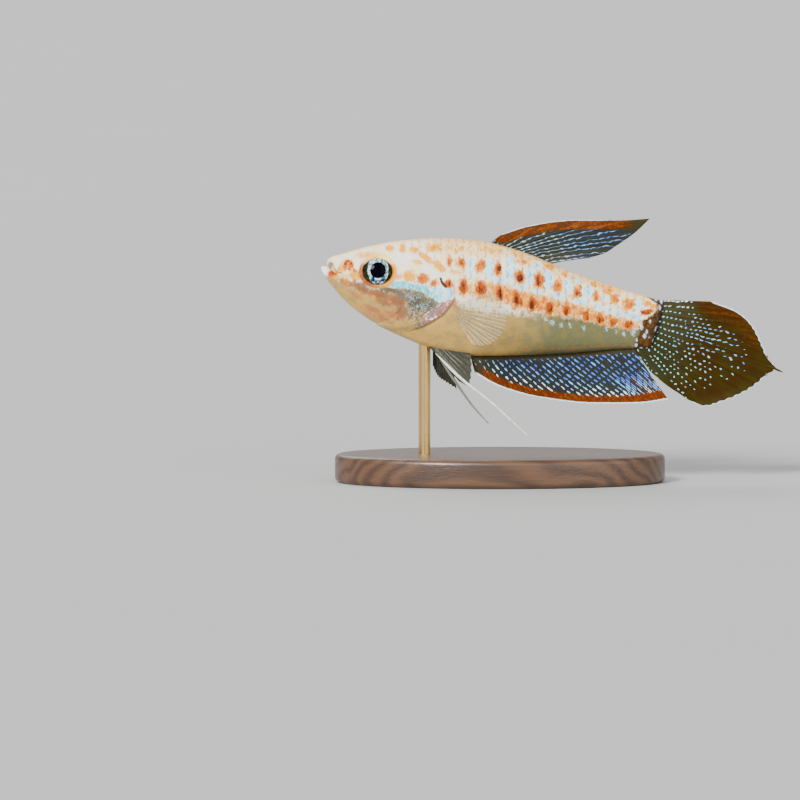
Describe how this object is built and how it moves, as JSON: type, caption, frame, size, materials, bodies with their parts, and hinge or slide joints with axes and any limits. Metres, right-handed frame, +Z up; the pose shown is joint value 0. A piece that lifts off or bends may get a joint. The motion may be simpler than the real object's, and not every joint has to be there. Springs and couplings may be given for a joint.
{
  "type": "sparkling gourami",
  "caption": "Life-size model of a small slender freshwater fish with flowing spotted fins and thread-like pelvic feelers, held nose-up by a rod on an oval wooden base.",
  "frame": {"origin": "centre of the display base's flat underside, on the floor", "axes": "+X towards the fish's tail, -X towards its snout, +Z up, -Y towards its left flank"},
  "size_m": [0.0392, 0.016, 0.0224],
  "materials": {
    "skin": "moist scaled fish skin, cream and tan with rows of rust brown spots and pale blue specks",
    "gill_cover": "iridescent blue-white bone plate under clear skin, tan and salmon below",
    "eye": "polished domed eye with a black pupil, silver-blue iris and orange outer ring",
    "spotted_fin": "thin brown translucent membrane with fine rays, blue dashes, a rust band and a pale blue edge",
    "clear_fin": "clear colourless membrane with fine pale rays",
    "stand_wood": "dark oiled walnut with fine grain and a rounded edge",
    "stand_brass": "satin drawn brass"
  },
  "bodies": {
    "root": {"head": "skin", "lower_jaw": "skin", "gill_cover_left": "gill_cover", "gill_cover_right": "gill_cover", "trunk": "skin", "tail_stalk": "skin", "eye_left": "eye", "eye_right": "eye", "dorsal_fin": "spotted_fin", "anal_fin": "spotted_fin", "caudal_fin": "spotted_fin", "pectoral_fin_left": "clear_fin", "pectoral_fin_right": "clear_fin", "pelvic_fin_left": "clear_fin", "pelvic_fin_right": "clear_fin", "stand_base": "stand_wood", "stand_rod": "stand_brass"}
  },
  "joints": []
}
